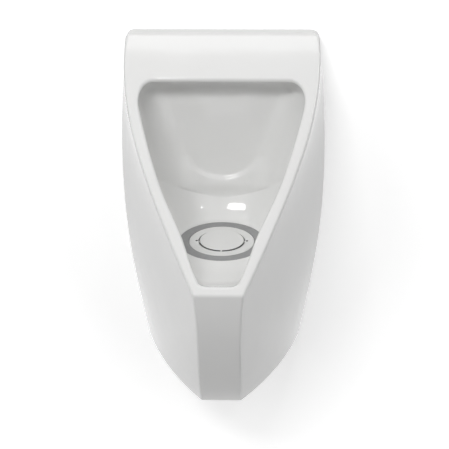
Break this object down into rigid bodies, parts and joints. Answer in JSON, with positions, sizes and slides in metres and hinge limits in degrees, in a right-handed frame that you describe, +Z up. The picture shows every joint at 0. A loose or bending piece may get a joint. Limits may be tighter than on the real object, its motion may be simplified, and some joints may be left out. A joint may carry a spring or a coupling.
{
  "type": "wall hung waterless urinal",
  "caption": "Wall hung waterless urinal: one-piece china body with a sloping rim, open V-shaped bowl and prow, concealed hangers and a lift-out float trap under a round cover.",
  "frame": {"origin": "centre of the four hanger screw holes, on the wall plane", "axes": "+Z up, +Y into the wall, +X to the right seen from the front"},
  "size_m": [0.3646, 0.4145, 0.61],
  "materials": {
    "glazed_china": "white glaze, glossy",
    "hanger_steel": "zinc plated steel",
    "liner_plastic": "natural polyamide",
    "ring_rubber": "matt grey rubber",
    "gasket_rubber": "black rubber",
    "housing_plastic": "grey plastic",
    "pipe_plastic": "white plastic",
    "cup_plastic": "off-white plastic",
    "float_foam": "light closed plastic",
    "spindle_steel": "stainless steel",
    "cover_plastic": "white, satin gloss"
  },
  "bodies": {
    "base": {"ceramic_body": "glazed_china", "hanger_left": "hanger_steel", "hanger_right": "hanger_steel", "liner_left": "liner_plastic", "liner_right": "liner_plastic", "seal_ring": "ring_rubber", "trap_housing": "housing_plastic", "flange_gasket": "gasket_rubber", "nut_washer": "liner_plastic", "lock_nut": "housing_plastic", "tail_pipe": "pipe_plastic", "outlet_seal": "gasket_rubber", "outlet_nut": "pipe_plastic"},
    "insert": {"trap_cup": "cup_plastic", "cup_seals": "gasket_rubber", "standpipe": "cup_plastic", "valve_seat": "gasket_rubber", "guide_spindle": "spindle_steel", "spindle_clip": "spindle_steel", "hair_strainer": "cup_plastic"},
    "cover": {"cover_plate": "cover_plastic", "centre_cap": "cover_plastic", "bell_baffle": "cup_plastic", "cover_seal": "gasket_rubber"},
    "float": {"float_valve": "float_foam"}
  },
  "joints": [
    {"name": "insert_lift", "type": "slide", "parent": "base", "child": "insert", "axis": [0, 0, 1], "range_m": [0, 0.12]},
    {"name": "cover_lift", "type": "slide", "parent": "insert", "child": "cover", "axis": [0, 0, 1], "range_m": [0, 0.075]},
    {"name": "float_rise", "type": "slide", "parent": "insert", "child": "float", "axis": [0, 0, 1], "range_m": [0, 0.006]}
  ]
}
